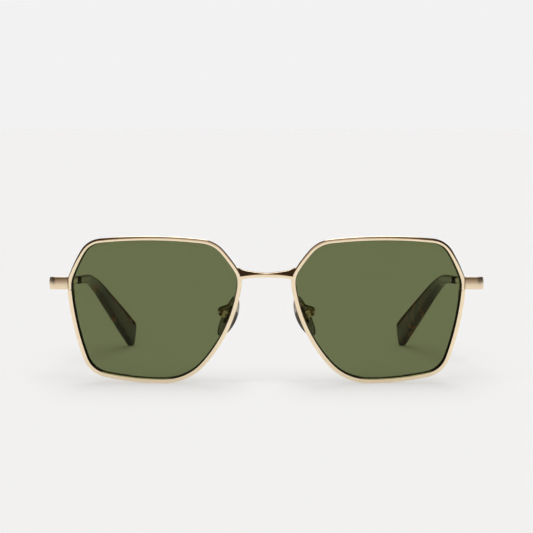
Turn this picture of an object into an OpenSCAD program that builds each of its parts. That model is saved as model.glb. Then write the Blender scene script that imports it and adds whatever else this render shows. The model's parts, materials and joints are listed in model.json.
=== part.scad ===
// Metal sunglasses with full rims, a single bridge, screw hinges and rocking nose pads.
// Left and right are the wearer's. The front faces -Y and the wearer's left side is +X. The glasses
// stand open on the floor z = 0, on the bottoms of the rims and on the ends of the temples.
// All sizes are in millimetres and all angles in degrees.

/* [Front] */
// Overall width across the two endpieces
front_w = 140; // [137:0.5:144]
// Width of one lens opening
eye_w = 53.6; // [52:0.1:55]
// Height of one lens opening
eye_h = 44.8; // [42:0.1:46]
// Gap between the two lens openings
eye_gap = 18.8; // [17.5:0.1:20]
// Radius of the sphere that the lenses and rims follow
curve_r = 175; // [120:5:260]
// Angle by which each lens turns back towards the ear
wrap = 5; // [3:0.5:7]
// Angle by which the front leans forward as it stands
lean = 5; // [3:0.5:7]

/* [Rims and lenses] */
// Width of the rim seen from the front
rim_face = 1.4; // [1.3:0.05:1.6]
// Depth of the rim from front to back
rim_depth = 2.3; // [2.2:0.1:2.8]
// Thickness of a lens
lens_t = 1.8; // [1.6:0.1:2]
// Depth of the lens groove inside the rim
groove_depth = 0.6; // [0.5:0.05:0.7]

/* [Bridge] */
// Height of the bridge at its middle
bridge_h = 1.3; // [1:0.05:1.8]
// Height of the bridge where it meets the rims
bridge_end_h = 4.1; // [3.6:0.1:4.4]
// Depth of the bridge from front to back
bridge_depth = 2; // [1.6:0.1:2.2]

/* [Endpieces and hinges] */
// Height of an endpiece
end_h = 4; // [3.7:0.05:4.2]
// Thickness of an endpiece
end_t = 1.55; // [1.4:0.05:1.7]
// Distance of the hinge screw behind the endpiece's front face
end_reach = 7.4; // [7:0.1:9]
// Height of the hinge centre above the floor
hinge_z = 31.9; // [31:0.1:33]
// Radius of the hinge knuckles
knuckle_r = 1.1; // [1:0.05:1.15]
// Radius of the hinge screw's shank
hinge_screw_r = 0.5; // [0.4:0.05:0.55]

/* [Temples] */
// Distance from the hinge back to the middle of a temple's end
temple_reach = 133.8; // [131:0.2:136]
// Angle by which the open temples slope down towards the ears
temple_slope = 2.95; // [2.8:0.05:3.1]
// Distance from the hinge to the bend over the ear
ear_bend = 95; // [90:1:98]
// Height of the metal temple at the hinge
arm_h = 3.5; // [3:0.1:3.6]
// Thickness of the metal temple at the hinge
arm_t = 1.4; // [1.2:0.05:1.5]
// Distance from the hinge to the start of the temple tip
tip_start = 60; // [58:1:64]

/* [Nose pads] */
// Length of a nose pad
pad_l = 14; // [12.5:0.1:14.5]
// Width of a nose pad
pad_w = 7; // [6:0.1:7.8]
// Thickness of a nose pad
pad_t = 2.5; // [2.3:0.1:2.8]
// Angle of the pads seen from the front
pad_frontal = 24; // [20:1:28]
// Angle of the pads seen from above
pad_splay = 22; // [18:1:28]
// Radius of the wire that carries a pad
pad_wire_r = 0.55; // [0.45:0.05:0.6]

/* [Hidden] */

$fn = 48;
LEFT = 1;
RIGHT = -1;
fine_fn = 360;         // facets of the large spheres in the preview
contact = 0.03;        // gap left between two soldered faces
play = 0.05;           // radial running clearance of a turning part
far = 6;               // half depth of the envelope used to trim parts against a rim

// ---- Outline of a lens opening ------------------------------------------------------------------
// Six corners, anticlockwise from the lower one at the nose, for the wearer's left eye seen from the
// front. Each is [across, up, rounding, bow]: across and up as shares of half the opening's width and
// height, the rounding's cut along each side, and the outward bow of the side that follows it.
eye_corners = [
    [-0.365, -0.996, 7.4, 1.2],
    [0.760, -0.897, 4.8, 1.1],
    [1.009, 0.366, 2.1, 0.5],
    [0.775, 0.928, 3.5, 1.4],
    [-0.700, 0.937, 3.6, 0.5],
    [-1.006, 0.460, 2.5, 3.7]
];
corner_count = len(eye_corners);
seam_side = 1;         // the rim is split on the side that ends at the endpiece
seam_at = 0.92;        // where along that side
seam_gap = 0.2;        // width of the split
blend_steps = 7;
side_steps = 6;

function wrap_index(i) = (i + corner_count) % corner_count;
function corner(i) = let(c = eye_corners[wrap_index(i)]) [c[0] * eye_w / 2, c[1] * eye_h / 2];
function cut(i) = eye_corners[wrap_index(i)][2];
function bow(i) = eye_corners[wrap_index(i)][3];
function side(i) = corner(i + 1) - corner(i);
function outward(v) = [v[1], -v[0]] / norm(v);
function cross2(a, b) = a[0] * b[1] - a[1] * b[0];
// A station is [point, direction of travel].
function side_station(i, s) = [
    corner(i) + side(i) * s + outward(side(i)) * bow(i) * 4 * s * (1 - s),
    side(i) + outward(side(i)) * bow(i) * 4 * (1 - 2 * s)
];
function side_start(i) = cut(i) / norm(side(i));
function side_end(i) = 1 - cut(i + 1) / norm(side(i));
// Quadratic curve that rounds corner i between its two bowed sides.
function blend_station(i, u) =
    let(a = side_station(i - 1, side_end(i - 1)), b = side_station(i, side_start(i)),
        reach = cross2(b[0] - a[0], b[1]) / cross2(a[1], b[1]),
        m = a[0] + a[1] * reach)
    [(1 - u) * (1 - u) * a[0] + 2 * u * (1 - u) * m + u * u * b[0],
     (1 - u) * (m - a[0]) + u * (b[0] - m)];
function blend(i) = [for (k = [0 : blend_steps]) blend_station(i, k / blend_steps)];
function straight(i, from, to) =
    [for (k = [1 : side_steps - 1]) side_station(i, from + (to - from) * k / side_steps)];
seam_share = seam_gap / 2 / norm(side(seam_side));
// The whole opening, from just above the split round to just below it.
eye_path = concat(
    [side_station(seam_side, seam_at + seam_share)],
    [for (k = [1 : corner_count - 1]) each concat(
        blend(seam_side + k),
        straight(seam_side + k, side_start(seam_side + k), side_end(seam_side + k)))],
    blend(seam_side),
    straight(seam_side, side_start(seam_side), seam_at - seam_share),
    [side_station(seam_side, seam_at - seam_share)]
);

// ---- Frames -------------------------------------------------------------------------------------
// Eye frame: centre of the lens sphere's front, x towards the ear, y back, z up.
// The axes at a station: outwards from the opening, back along the sphere's radius, and along the rim.
function sphere_y(p) = sqrt(curve_r * curve_r - p[0] * p[0] - p[1] * p[1]);
function radial(p) = [-p[0], sphere_y(p), -p[1]] / curve_r;
function along(st) =
    let(v = [st[1][0], (st[0][0] * st[1][0] + st[0][1] * st[1][1]) / sphere_y(st[0]), st[1][1]])
    v / norm(v);
function across(st) = cross(radial(st[0]), along(st));
function on_sphere(p) = [p[0], curve_r - sphere_y(p), p[1]];
// Point n outside the opening's edge and d behind the lens sphere.
function shell(st, n, d) = on_sphere(st[0]) + n * across(st) + d * radial(st[0]);

eye_x = eye_gap / 2 + eye_w / 2;
eye_z = eye_h / 2 + rim_face;
function eye_to_front(p) = [
    p[0] * cos(wrap) - p[1] * sin(wrap) + eye_x,
    p[0] * sin(wrap) + p[1] * cos(wrap),
    p[2] + eye_z
];
function leaned(p) = [p[0], p[1] * cos(lean) - p[2] * sin(lean), p[1] * sin(lean) + p[2] * cos(lean)];

// Cross-section of the rim as [outwards, back], with the groove that holds the lens.
tongue_t = 0.8;        // thickness of the tongue round the lens's edge
tongue_out = 0.42;     // how far the tongue enters the rim
edge_round = 0.3;      // bevel on the rim's outer corners
lip_round = 0.15;      // bevel on the rim's inner corners
groove_half = tongue_t / 2 + play;
rim_half = rim_depth / 2;
rim_profile = [
    [groove_depth, -groove_half], [groove_depth, groove_half], [0, groove_half],
    [0, rim_half - lip_round], [lip_round, rim_half],
    [rim_face - edge_round, rim_half], [rim_face, rim_half - edge_round],
    [rim_face, edge_round - rim_half], [rim_face - edge_round, -rim_half],
    [lip_round, -rim_half], [0, lip_round - rim_half], [0, -groove_half]
];
rim_rings = [for (st = eye_path) [for (q = rim_profile) shell(st, q[0], q[1])]];
rim_points = [for (ring = rim_rings) for (p = ring) leaned(eye_to_front(p))];

// Curves of the bridge in the upright front's frame: its underside, the top of its low front face, the
// top of the steep face above that, and its front.
bridge_z = 34.55;      // underside at the middle
bridge_drop = 1.2;     // how much lower the underside is at the rims
bridge_lip_h = 0.95;   // height of the front face at the middle
bridge_lip_drop = 0.85; // how much lower the top of the front face is at the rims
bridge_flare = 0.6;    // how much of the top's rise comes only close to the rims
bridge_half = 11;      // half length before it is trimmed against the rims
bridge_span = 9;       // half length over which its curves are drawn
bridge_mid_y = -0.05;  // middle of its depth where it meets the rims
bridge_bow = 0.9;      // how far its middle stands forward
bridge_setback = 0.35; // how far the steep face leans back, as a share of its height
bridge_steps = 16;
bridge_rise = bridge_end_h - bridge_h - bridge_drop - bridge_flare;
function share(x) = min(1, abs(x) / bridge_span);
function bridge_low(x) = bridge_z - bridge_drop * pow(share(x), 3);
function bridge_lip(x) = bridge_z + bridge_lip_h - bridge_lip_drop * pow(share(x), 2);
function bridge_high(x) =
    bridge_z + bridge_h + bridge_rise * pow(share(x), 1.2) + bridge_flare * pow(share(x), 8);
function bridge_front(x) = bridge_mid_y - bridge_depth / 2 - bridge_bow * (1 - pow(share(x), 2));
bridge_xs = [for (k = [-bridge_steps : bridge_steps]) bridge_half * k / bridge_steps];

// The glasses are raised on to the floor.
lift = -min([for (p = rim_points) p[2]]);
front_y = min(leaned([0, bridge_front(0), bridge_lip(0)])[1], min([for (p = rim_points) p[1]]));

module sided(side) {
    if (side == LEFT) children();
    else mirror([1, 0, 0]) children();
}
module front_frame() translate([0, -mid_y, lift]) rotate([lean, 0, 0]) children();
module eye_frame() front_frame() translate([eye_x, 0, eye_z]) rotate([0, 0, wrap]) children();

// Hinge frame: on the screw's axis at mid height, x outwards, y back along the temple.
hinge_in = 1.3;        // from the hinge axis out to the inner faces of endpiece and temple
hinge_x = front_w / 2 - hinge_in - end_t;
end_front_y = 0.8;     // front face of the endpieces, behind the front of the rims' feet
hinge_y = end_front_y + end_reach;
module hinge_frame()
    translate([hinge_x, hinge_y - mid_y, hinge_z]) rotate([-temple_slope, 0, 0]) children();

// Solid through a list of rings with equal numbers of points: its sides, from the middle ring round to
// the one before it, and then its two ends.
module loft(rings) {
    n = len(rings[0]);
    spans = len(rings) - 1;
    middle = floor(spans / 2);
    polyhedron(
        points = [for (ring = rings) each ring],
        faces = concat(
            [for (j = [0 : spans - 1]) for (k = [0 : n - 1]) each
                let(r = (middle + j) % spans, a = r * n + k, b = r * n + (k + 1) % n)
                    [[a, b, a + n], [b, b + n, a + n]]],
            [[for (k = [n - 1 : -1 : 0]) k]],
            [[for (k = [0 : n - 1]) spans * n + k]]
        ),
        convexity = 10);
}

// Solid round a lens opening, from its outer line's points as [outwards, back], back to front.
// Each end is closed by a low cone.
module eye_solid(line) {
    count = len(eye_path);
    last = (len(line) - 1) * count;
    hub_back = len(line) * count;
    hub_front = hub_back + 1;
    polyhedron(
        points = concat(
            [for (q = line) for (st = eye_path) shell(st, q[0], q[1])],
            [[0, line[0][1], 0], [0, line[len(line) - 1][1], 0]]),
        faces = concat(
            [for (r = [0 : len(line) - 2]) for (k = [0 : count - 1]) each
                let(a = r * count + k, b = r * count + (k + 1) % count)
                    [[b, a, a + count], [b + count, b, a + count]]],
            [for (k = [0 : count - 1]) let(m = (k + 1) % count) each
                [[k, m, hub_back], [last + m, last + k, hub_front]]]),
        convexity = 6);
}
// Everything within n of the opening's edge, to trim parts against a rim.
module rim_envelope(n) eye_solid([[n, far], [n, -far]]);

// ---- Rims, lenses and bridge --------------------------------------------------------------------
module rim(side) color("tan") sided(side) eye_frame() loft(rim_rings);

// Part of a spherical shell between two depths from the lens sphere.
module sphere_shell(front, back) translate([0, curve_r, 0]) difference() {
    sphere(r = curve_r + front, $fn = fine_fn);
    sphere(r = curve_r - back, $fn = fine_fn);
}
lens_front = 0.75;     // the lens's front surface before the lens sphere
lens_line = [
    [-contact, far], [-contact, tongue_t / 2], [tongue_out, tongue_t / 2],
    [tongue_out, -tongue_t / 2], [-contact, -tongue_t / 2], [-contact, -far]
];
module lens(side) color("darkolivegreen", 0.6) sided(side) eye_frame() intersection() {
    eye_solid(lens_line);
    sphere_shell(lens_front, lens_t - lens_front);
}

function bridge_ring(x) =
    let(front = bridge_front(x), back = front + bridge_depth,
        edge = front + bridge_setback * (bridge_high(x) - bridge_lip(x)))
    [[x, front, bridge_low(x)], [x, front, bridge_lip(x)], [x, edge, bridge_high(x)],
     [x, back, bridge_high(x)], [x, back, bridge_low(x)]];
module bridge() color("tan") difference() {
    front_frame() loft([for (x = bridge_xs) bridge_ring(x)]);
    for (side = [LEFT, RIGHT]) sided(side) eye_frame() rim_envelope(rim_face + contact);
}

// ---- Endpieces ----------------------------------------------------------------------------------
end_up = 0.12;         // how far the endpiece's middle is above the hinge's
end_inner = -4.6;      // inner end before it is trimmed against the rim
end_corner = 2;        // outer radius where the endpiece turns back
hinge_joint = 0.1;     // half the gap between the endpiece's and the temple's end faces
module end_outline() difference() {
    union() {
        translate([end_inner, -end_reach])
            square([hinge_in + end_t - end_corner - end_inner, end_t]);
        translate([hinge_in + end_t - end_corner, end_corner - end_reach]) circle(end_corner);
        translate([hinge_in, end_corner - end_reach])
            square([end_t, end_reach - end_corner - hinge_joint]);
    }
    translate([hinge_in - far, end_t - end_reach]) square([far, end_reach]);
}
module endpiece(side) color("burlywood") sided(side) difference() {
    hinge_frame() translate([0, 0, end_up - end_h / 2]) linear_extrude(end_h) end_outline();
    eye_frame() rim_envelope(rim_face + contact);
}

// ---- Rim locks: the blocks and screw that close the split rim -----------------------------------
lock_r = 0.85;         // radius of a block's round back
lock_h = 2.2;          // height of one block
lock_out = 0.1;        // how far the blocks sit outside the middle of the rim
lock_screw_r = 0.4;
lock_head_r = 0.7;
lock_head_h = 0.5;
seam = side_station(seam_side, seam_at);
module seam_frame() {
    m = across(seam);
    k = radial(seam[0]);
    t = along(seam);
    p = shell(seam, rim_face / 2 + lock_out, rim_half + contact);
    eye_frame() multmatrix([
        [m[0], k[0], t[0], p[0]],
        [m[1], k[1], t[1], p[1]],
        [m[2], k[2], t[2], p[2]],
        [0, 0, 0, 1]]) children();
}
module lock_block(from) difference() {
    translate([0, lock_r, from]) union() {
        cylinder(r = lock_r, h = lock_h);
        translate([-lock_r, -lock_r, 0]) cube([2 * lock_r, lock_r, lock_h]);
    }
    translate([0, lock_r, from - 1]) cylinder(r = lock_screw_r + contact, h = lock_h + 2);
}
module rim_lock_upper(side) color("darkgoldenrod") sided(side) seam_frame() lock_block(seam_gap / 2);
module rim_lock_lower(side)
    color("darkgoldenrod") sided(side) seam_frame() lock_block(-seam_gap / 2 - lock_h);

// A screw along +Z from its slotted head's top at z = 0 upwards.
slot_w = 0.22;
module slotted_screw(shank_r, head_r, head_h, shank_l) difference() {
    union() {
        cylinder(r = head_r, h = head_h);
        cylinder(r = shank_r, h = head_h + shank_l);
    }
    translate([-head_r - 1, -slot_w / 2, -1]) cube([2 * head_r + 2, slot_w, 1 + head_h / 2]);
}
lock_screw_l = 2 * lock_h + seam_gap - 0.4;
module rim_lock_screw(side) color("silver") sided(side) seam_frame()
    translate([0, lock_r, -seam_gap / 2 - lock_h - contact - lock_head_h])
        slotted_screw(lock_screw_r, lock_head_r, lock_head_h, lock_screw_l);

// ---- Hinges -------------------------------------------------------------------------------------
knuckle_h = 1.0;       // height of the temple's middle knuckle
knuckle_gap = 0.05;    // running gap above and below it
hinge_h = 2.8;         // height of the whole hinge
leaf_l = 3.6;          // length of a hinge leaf from the axis
leaf_from = 1.25;      // where a leaf's full-height part starts, clear of the other leaf's knuckles
leaf_in = 0.15;        // inner face of a leaf, out from the axis
leaf_out = hinge_in - contact;
module knuckle(z0, z1, bore_r, dir) difference() {
    union() {
        translate([0, 0, z0]) cylinder(r = knuckle_r, h = z1 - z0);
        translate([leaf_in, dir > 0 ? 0 : -leaf_from, z0]) cube([leaf_out - leaf_in, leaf_from, z1 - z0]);
    }
    translate([0, 0, z0 - 1]) cylinder(r = bore_r, h = z1 - z0 + 2);
}
module leaf(dir)
    translate([leaf_in, dir > 0 ? leaf_from : -leaf_l, -hinge_h / 2])
        cube([leaf_out - leaf_in, leaf_l - leaf_from, hinge_h]);
module front_hinge(side) color("darkgoldenrod") sided(side) hinge_frame() union() {
    leaf(-1);
    knuckle(knuckle_h / 2 + knuckle_gap, hinge_h / 2, hinge_screw_r + contact, -1);
    knuckle(-hinge_h / 2, -knuckle_h / 2 - knuckle_gap, hinge_screw_r + contact, -1);
}
module temple_hinge(side) color("darkgoldenrod") sided(side) hinge_frame() union() {
    intersection() {
        leaf(1);
        translate([-far, 0, -arm_h / 2]) cube([2 * far, 2 * far, arm_h]);
    }
    knuckle(-knuckle_h / 2, knuckle_h / 2, hinge_screw_r + play, 1);
}
hinge_head_r = 0.9;
hinge_head_h = 0.3;
module hinge_screw(side) color("silver") sided(side) hinge_frame()
    translate([0, 0, hinge_h / 2 + contact + hinge_head_h]) rotate([180, 0, 0])
        slotted_screw(hinge_screw_r, hinge_head_r, hinge_head_h, hinge_h + 2 * contact);

// ---- Temples ------------------------------------------------------------------------------------
// Middle line of a temple in the hinge frame: straight back along the hinge's leaf, slightly in to the
// ear, rounded over it, then down and in behind it.
temple_a = [hinge_in + end_t / 2, hinge_joint, 0];
temple_b = [temple_a[0], leaf_l + 1.5, 0];
temple_c = [-3.3, ear_bend, 0.8];
temple_e = [-16.15, temple_reach, -20.95];
bend_cut = 13;         // length of each straight that the ear bend rounds off
bend_steps = 8;
bend_a = temple_c + (temple_b - temple_c) / norm(temple_b - temple_c) * bend_cut;
bend_e = temple_c + (temple_e - temple_c) / norm(temple_e - temple_c) * bend_cut;
temple_line = concat([temple_a, temple_b],
    [for (k = [0 : bend_steps]) let(u = k / bend_steps)
        (1 - u) * (1 - u) * bend_a + 2 * u * (1 - u) * temple_c + u * u * bend_e],
    [temple_e]);
function temple_at(y) = [
    lookup(y, [for (p = temple_line) [p[1], p[0]]]), y, lookup(y, [for (p = temple_line) [p[1], p[2]]])];
function temple_dir(y) =
    let(v = temple_at(min(y + 1.5, temple_reach)) - temple_at(y - 1.5)) v / norm(v);
// Rounded-square ring of a given thickness and height, square to the temple at y.
ring_points = 16;
tip_twist = 5;         // how far the tip's end is turned, its top edge outwards
squareness = 0.5;      // 1 gives an ellipse and less gives squarer sides
function rounded(v) = sign(v) * pow(abs(v), squareness);
function temple_ring(y, t, h) =
    let(f = temple_dir(y), s = cross(f, [0, 0, 1]), e = s / norm(s), u = cross(e, f), p = temple_at(y),
        twist = tip_twist * max(0, y - ear_bend) / (temple_reach - ear_bend),
        over = e * cos(twist) - u * sin(twist), up = u * cos(twist) + e * sin(twist))
    [for (k = [0 : ring_points - 1]) let(a = 360 * (k + 0.5) / ring_points)
        p + over * rounded(cos(a)) * t / 2 + up * rounded(sin(a)) * h / 2];
arm_heights = [[0, arm_h], [14, arm_h - 0.3], [tip_start - 6, 2.1], [tip_start, 1.5], [temple_reach, 1.3]];
arm_thicknesses = [[0, arm_t], [tip_start - 6, 1.3], [tip_start, 1], [temple_reach, 0.9]];
arm_ys = [0.1, 4, 6, 9, 14, 30, 45, tip_start - 6, tip_start, 72, 80, 84, 87, 90, 93, 96, 99, 102, 105,
    108, 116, 124];
arm_rings = [for (y = arm_ys) temple_ring(y, lookup(y, arm_thicknesses), lookup(y, arm_heights))];
// The first ring is flattened on to the plane of the hinge joint.
arm_start = [for (p = arm_rings[0]) [p[0], hinge_joint, p[2]]];
module temple_arm(side) color("tan") sided(side) hinge_frame()
    loft(concat([arm_start], [for (k = [1 : len(arm_rings) - 1]) arm_rings[k]]));

tip_heights = [[tip_start, 2.7], [92, 3.2], [104, 5], [125, 9], [temple_reach, 10.2]];
tip_thicknesses = [[tip_start, 2.4], [92, 3], [temple_reach, 3.3]];
tip_ys = [tip_start, tip_start + 0.6, 72, 80, 84, 87, 90, 93, 96, 99, 102, 105, 108, 113, 119, 126,
    temple_reach - 0.3, temple_reach];
tip_end_round = 0.2;   // how much smaller each end of the tip is all round
function tip_ring(y) =
    let(less = y == tip_start || y == temple_reach ? 2 * tip_end_round : 0)
    temple_ring(y, lookup(y, tip_thicknesses) - less, lookup(y, tip_heights) - less);
channel_ys = concat([for (y = arm_ys) if (y >= tip_start) y], [125]);
function channel_ring(y) =
    temple_ring(y, lookup(y, arm_thicknesses) + 2 * play, lookup(y, arm_heights) + 2 * play);
// Tube with a blind hole, from its outer rings and the rings of the hole.
module sleeve(outer, inner) {
    n = ring_points;
    base = len(outer) * n;
    function skin(from, rings, flip) = [for (r = [0 : rings - 2]) for (k = [0 : n - 1]) each
        let(a = from + r * n + k, b = from + r * n + (k + 1) % n)
            flip ? [[a, a + n, b], [b, a + n, b + n]] : [[a, b, a + n], [b, b + n, a + n]]];
    polyhedron(
        points = concat([for (ring = outer) each ring], [for (ring = inner) each ring]),
        faces = concat(
            skin(0, len(outer), false),
            skin(base, len(inner), true),
            [[for (k = [0 : n - 1]) (len(outer) - 1) * n + k]],
            [[for (k = [n - 1 : -1 : 0]) base + (len(inner) - 1) * n + k]],
            [for (k = [0 : n - 1]) let(m = (k + 1) % n) each [[k, base + k, m], [m, base + k, base + m]]]),
        convexity = 10);
}
// The temple's end is trimmed where it stands on the floor.
module temple_tip(side) color("saddlebrown") sided(side) difference() {
    hinge_frame() sleeve([for (y = tip_ys) tip_ring(y)], [for (y = channel_ys) channel_ring(y)]);
    translate([0, 0, -50]) cube([300, 400, 100], center = true);
}

// The glasses are centred front to back on the floor.
back_y = hinge_y + max([for (p = concat(tip_ring(temple_reach - 0.3), tip_ring(temple_reach)))
    p[1] * cos(temple_slope) + p[2] * sin(temple_slope)]);
mid_y = (front_y + back_y) / 2;

// ---- Nose pads ----------------------------------------------------------------------------------
// Pad frame: on the axis that the pad rocks about, -x towards the nose, y back, z up along the pad.
pad_at = [13.6, 6.6, 21.6];
pad_back = 1.1;        // from the rocking axis to the pad's back
pad_drop = 0.5;        // how far the middle of the pad is below the rocking axis
dome_r = 16;           // radius of the pad's face
oval_points = 32;
oval_power = 0.85;     // 1 gives an ellipse and less gives a fuller outline
module pad_frame()
    front_frame() translate(pad_at) rotate([0, -pad_frontal, 0]) rotate([0, 0, -pad_splay]) children();
function pad_to_front(p) =
    let(a = [p[0] * cos(pad_splay) + p[1] * sin(pad_splay),
             p[1] * cos(pad_splay) - p[0] * sin(pad_splay), p[2]])
    pad_at + [a[0] * cos(pad_frontal) - a[2] * sin(pad_frontal), a[1],
              a[0] * sin(pad_frontal) + a[2] * cos(pad_frontal)];

// Metal insert: a plate moulded into the pad, and a tab with an eye that the pad screw passes.
plate_t = 0.5;
plate_w = 2.8;
plate_h = 6;
plate_in = 0.7;        // how deep the plate lies in the pad
tab_t = 0.8;
tab_h = 1.5;
module insert_shape(extra) {
    translate([-pad_back - plate_in - plate_t - extra, -plate_w / 2 - extra, -plate_h / 2 - extra])
        cube([plate_t + 2 * extra, plate_w + 2 * extra, plate_h + 2 * extra]);
    translate([-pad_back - plate_in - plate_t / 2, -tab_t / 2 - extra, -tab_h / 2 - extra])
        cube([pad_back + plate_in + plate_t / 2, tab_t + 2 * extra, tab_h + 2 * extra]);
}
pad_screw_r = 0.4;
module pad_insert(side) color("goldenrod") sided(side) pad_frame() difference() {
    union() {
        insert_shape(0);
        rotate([90, 0, 0]) cylinder(r = tab_h / 2, h = tab_t, center = true);
    }
    rotate([90, 0, 0]) cylinder(r = pad_screw_r + play, h = 2 * tab_t, center = true);
}
function signed_power(v, e) = sign(v) * pow(abs(v), e);
module pad_outline() polygon([for (k = [0 : oval_points - 1]) let(a = 360 * k / oval_points)
    [signed_power(cos(a), oval_power) * pad_l / 2, signed_power(sin(a), oval_power) * pad_w / 2]]);
module nose_pad(side) color("whitesmoke", 0.7) sided(side) pad_frame() difference() {
    intersection() {
        translate([-pad_back, 0, -pad_drop]) rotate([0, -90, 0]) linear_extrude(pad_t) pad_outline();
        translate([dome_r - pad_back - pad_t, 0, -pad_drop]) sphere(r = dome_r, $fn = 96);
    }
    insert_shape(0.02);
}

// Box at the end of the pad wire: a channel that the tab sits in, crossed by the pad screw.
box_front = -0.6;
box_back = 1.35;
box_w = 2.6;
box_h = 2.4;
channel_w = 1.15;
channel_back = 0.9;
module pad_box(side) color("goldenrod") sided(side) pad_frame() difference() {
    translate([box_front, -box_w / 2, -box_h / 2]) cube([box_back - box_front, box_w, box_h]);
    translate([box_front - 1, -channel_w / 2, -box_h])
        cube([channel_back - box_front + 1, channel_w, 2 * box_h]);
    rotate([90, 0, 0]) cylinder(r = pad_screw_r + contact, h = 2 * box_w, center = true);
}
pad_head_r = 0.75;
pad_head_h = 0.45;
module pad_screw(side) color("silver") sided(side) pad_frame()
    translate([0, box_w / 2 + contact + pad_head_h, 0]) rotate([90, 0, 0])
        slotted_screw(pad_screw_r, pad_head_r, pad_head_h, box_w);

// Wire from the back of the rim, up and over, down to the back of the box.
wire_foot = side_station(corner_count - 1, 0.22);
wire_start = eye_to_front(shell(wire_foot, rim_face / 2, rim_half + 3 * contact));
wire_knots = [
    wire_start + [-0.1, -2.2, -0.1],
    wire_start,
    wire_start + [0.5, 2.2, 0.1],
    pad_to_front([0.6, -1.6, 3]),
    pad_to_front([2.2, -0.5, 1.2]),
    pad_to_front([2.15, -0.05, 0.3]),
    pad_to_front([box_back + contact, 0, 0]),
    pad_to_front([box_back - 1, 0, 0])
];
wire_steps = 6;
wire_sides = 10;
// Smooth curve through the knots between the first and the last.
function spline(p, i, u) = 0.5 * (2 * p[i] + (p[i + 1] - p[i - 1]) * u
    + (2 * p[i - 1] - 5 * p[i] + 4 * p[i + 1] - p[i + 2]) * u * u
    + (3 * p[i] - p[i - 1] - 3 * p[i + 1] + p[i + 2]) * u * u * u);
wire_line = concat(
    [for (i = [1 : len(wire_knots) - 3]) for (k = [0 : wire_steps - 1])
        spline(wire_knots, i, k / wire_steps)],
    [wire_knots[len(wire_knots) - 2]]);
// Its last ring is square to the box's back.
function wire_ring(i) =
    let(last = i == len(wire_line) - 1,
        v = last ? pad_to_front([-1, 0, 0]) - pad_at : wire_line[i + 1] - wire_line[max(0, i - 1)],
        f = v / norm(v), s = cross(f, [0.8, 0, 0.6]), e = s / norm(s), u = cross(e, f))
    [for (k = [0 : wire_sides - 1]) let(g = 360 * k / wire_sides)
        wire_line[i] + (e * cos(g) + u * sin(g)) * pad_wire_r];
module pad_arm(side) color("goldenrod") sided(side) front_frame()
    loft([for (i = [0 : len(wire_line) - 1]) wire_ring(i)]);

bridge();
rim(LEFT);  // rim_left
rim(RIGHT);  // rim_right
lens(LEFT);  // lens_left
lens(RIGHT);  // lens_right
endpiece(LEFT);  // endpiece_left
endpiece(RIGHT);  // endpiece_right
rim_lock_upper(LEFT);  // rim_lock_upper_left
rim_lock_upper(RIGHT);  // rim_lock_upper_right
rim_lock_lower(LEFT);  // rim_lock_lower_left
rim_lock_lower(RIGHT);  // rim_lock_lower_right
rim_lock_screw(LEFT);  // rim_lock_screw_left
rim_lock_screw(RIGHT);  // rim_lock_screw_right
front_hinge(LEFT);  // front_hinge_left
front_hinge(RIGHT);  // front_hinge_right
hinge_screw(LEFT);  // hinge_screw_left
hinge_screw(RIGHT);  // hinge_screw_right
pad_arm(LEFT);  // pad_arm_left
pad_arm(RIGHT);  // pad_arm_right
pad_box(LEFT);  // pad_box_left
pad_box(RIGHT);  // pad_box_right
pad_screw(LEFT);  // pad_screw_left
pad_screw(RIGHT);  // pad_screw_right
nose_pad(LEFT);  // nose_pad_left
nose_pad(RIGHT);  // nose_pad_right
pad_insert(LEFT);  // pad_insert_left
pad_insert(RIGHT);  // pad_insert_right
temple_arm(LEFT);  // temple_arm_left
temple_arm(RIGHT);  // temple_arm_right
temple_hinge(LEFT);  // temple_hinge_left
temple_hinge(RIGHT);  // temple_hinge_right
temple_tip(LEFT);  // temple_tip_left
temple_tip(RIGHT);  // temple_tip_right
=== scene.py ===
"""Looks of the sunglasses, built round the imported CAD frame. Metres throughout.

+X is the wearer's left, -Y the way the lenses face, +Z up. Left pieces are built, right ones mirrored.
"""

import json
from math import ceil, cos, pi, radians, sin, sqrt

import bmesh
import bpy
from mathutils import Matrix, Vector


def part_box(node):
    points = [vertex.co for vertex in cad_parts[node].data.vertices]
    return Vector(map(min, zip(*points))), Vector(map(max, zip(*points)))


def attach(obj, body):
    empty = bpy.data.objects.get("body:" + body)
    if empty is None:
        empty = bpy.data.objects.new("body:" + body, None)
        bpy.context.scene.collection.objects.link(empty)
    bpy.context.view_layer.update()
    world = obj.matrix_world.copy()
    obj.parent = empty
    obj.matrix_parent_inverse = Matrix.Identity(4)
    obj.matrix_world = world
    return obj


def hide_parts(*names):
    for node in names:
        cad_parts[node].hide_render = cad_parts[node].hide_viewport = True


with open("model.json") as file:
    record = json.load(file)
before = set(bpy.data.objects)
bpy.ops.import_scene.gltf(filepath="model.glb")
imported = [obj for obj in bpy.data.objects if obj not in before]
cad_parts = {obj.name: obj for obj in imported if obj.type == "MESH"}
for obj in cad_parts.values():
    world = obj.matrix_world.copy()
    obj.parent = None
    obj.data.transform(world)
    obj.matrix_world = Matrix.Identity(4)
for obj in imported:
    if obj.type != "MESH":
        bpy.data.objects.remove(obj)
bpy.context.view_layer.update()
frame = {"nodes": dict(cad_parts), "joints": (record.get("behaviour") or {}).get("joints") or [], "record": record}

MM = 0.001
LEFT, RIGHT = 1, -1
SIDES = {"left": LEFT, "right": RIGHT}

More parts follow.
